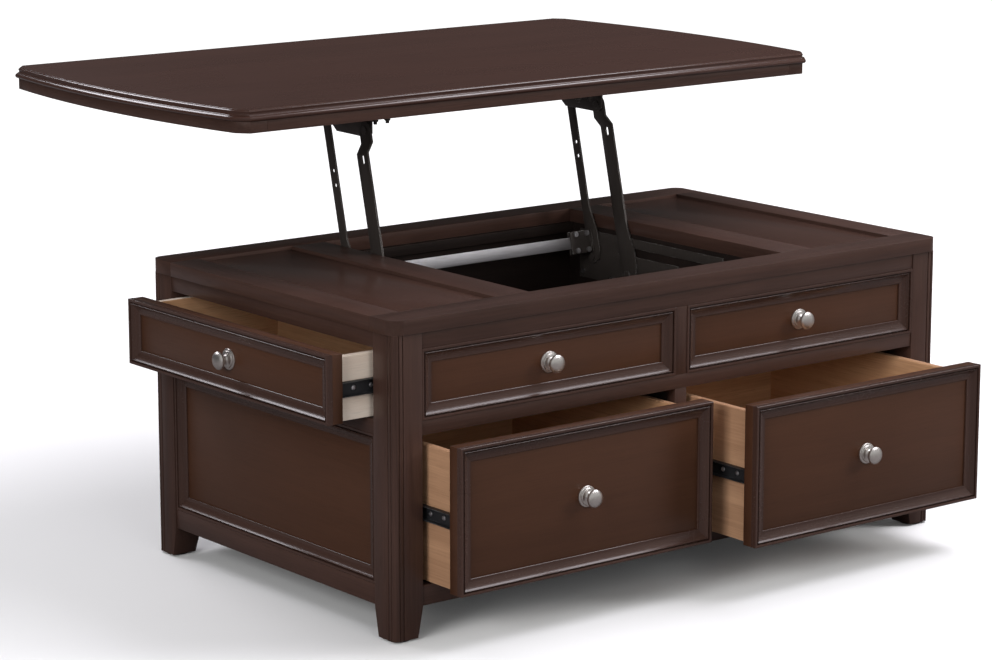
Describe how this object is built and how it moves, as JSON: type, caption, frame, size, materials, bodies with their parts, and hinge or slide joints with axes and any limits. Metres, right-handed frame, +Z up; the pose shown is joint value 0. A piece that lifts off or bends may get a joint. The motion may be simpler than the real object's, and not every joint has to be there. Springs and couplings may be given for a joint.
{
  "type": "lift top coffee table",
  "caption": "Dark wood coffee table with a storage well under a parallel-lift top and framed, knobbed drawers at the front and ends.",
  "frame": {"origin": "centre of the bounding box on the floor, with the top raised and the drawers as stored", "axes": "+X along the table's length (the table's right when facing its drawer front), +Y to the back, +Z up; the drawer front faces -Y"},
  "size_m": [1.266, 1.1952, 0.7542],
  "materials": {
    "dark_wood": "satin espresso stained hardwood lacquer with fine open grain",
    "panel_wood": "satin espresso stained veneer lacquer, a little redder",
    "inner_wood": "matt dark stained board",
    "drawer_wood": "clear lacquered pale birch",
    "nickel": "satin nickel",
    "slide_steel": "black electro-coated steel",
    "dark_steel": "dark bronze coated steel",
    "bright_steel": "bright zinc plated steel",
    "glide_plastic": "black plastic"
  },
  "bodies": {
    "case": {"post_front_left": "dark_wood", "post_front_right": "dark_wood", "post_back_left": "dark_wood", "post_back_right": "dark_wood", "glides": "glide_plastic", "rim_front": "dark_wood", "rim_back": "dark_wood", "rim_left": "dark_wood", "rim_right": "dark_wood", "cross_rails": "dark_wood", "inset_panels": "panel_wood", "front_top_rail": "dark_wood", "front_mid_rail": "dark_wood", "front_bottom_rail": "dark_wood", "mullions": "dark_wood", "faux_front_left": "panel_wood", "faux_front_right": "panel_wood", "faux_knobs": "nickel", "end_rails": "dark_wood", "end_panels": "panel_wood", "end_mouldings": "dark_wood", "back_rails": "dark_wood", "back_panels": "panel_wood", "back_mouldings": "dark_wood", "bottom_panel": "inner_wood", "middle_panel": "inner_wood", "centre_partition": "inner_wood", "well_walls": "inner_wood", "slide_cleats": "inner_wood", "case_slides": "slide_steel", "base_plates": "dark_steel", "base_pins": "dark_steel", "plate_screws": "bright_steel"},
    "front_arms": {"front_arms": "dark_steel"},
    "rear_arms": {"rear_arms": "dark_steel", "lower_cross_bar": "bright_steel", "bar_clamps": "dark_steel", "clamp_bolts": "bright_steel"},
    "lift_top": {"top_brackets": "dark_steel", "bracket_pins": "dark_steel", "upper_cross_bar": "bright_steel", "bracket_fixings": "dark_steel", "top_board": "dark_wood", "top_band": "dark_wood"},
    "low_left": {"low_left_front": "panel_wood", "low_left_box": "drawer_wood", "low_left_knob": "nickel", "low_left_rails": "slide_steel"},
    "low_right": {"low_right_front": "panel_wood", "low_right_box": "drawer_wood", "low_right_knob": "nickel", "low_right_rails": "slide_steel"},
    "end_left": {"end_left_front": "panel_wood", "end_left_box": "drawer_wood", "end_left_knob": "nickel", "end_left_rails": "slide_steel"},
    "end_right": {"end_right_front": "panel_wood", "end_right_box": "drawer_wood", "end_right_knob": "nickel", "end_right_rails": "slide_steel"}
  },
  "joints": [
    {"name": "lift", "type": "hinge", "parent": "case", "child": "front_arms", "pos_m": [0, 0.00279, 0.3926], "axis": [1, 0, 0], "range_deg": [0, 93.5]},
    {"name": "top_level", "type": "hinge", "parent": "front_arms", "child": "lift_top", "pos_m": [0, 0.07095, 0.67653], "axis": [1, 0, 0], "range_deg": [-93.5, 0]},
    {"name": "rear_arm_swing", "type": "hinge", "parent": "case", "child": "rear_arms", "pos_m": [0, 0.09578, 0.4099], "axis": [1, 0, 0], "range_deg": [0, 93.5]},
    {"name": "low_left_slide", "type": "slide", "parent": "case", "child": "low_left", "axis": [0, -1, 0], "range_m": [-0.09, 0.24]},
    {"name": "low_right_slide", "type": "slide", "parent": "case", "child": "low_right", "axis": [0, -1, 0], "range_m": [-0.159, 0.171]},
    {"name": "end_left_slide", "type": "slide", "parent": "case", "child": "end_left", "axis": [-1, 0, 0], "range_m": [-0.081, 0.099]},
    {"name": "end_right_slide", "type": "slide", "parent": "case", "child": "end_right", "axis": [1, 0, 0], "range_m": [0, 0.18]}
  ],
  "couplings": [
    {"joint": "top_level", "follows": "lift", "ratio": -1},
    {"joint": "rear_arm_swing", "follows": "lift", "ratio": 1}
  ]
}
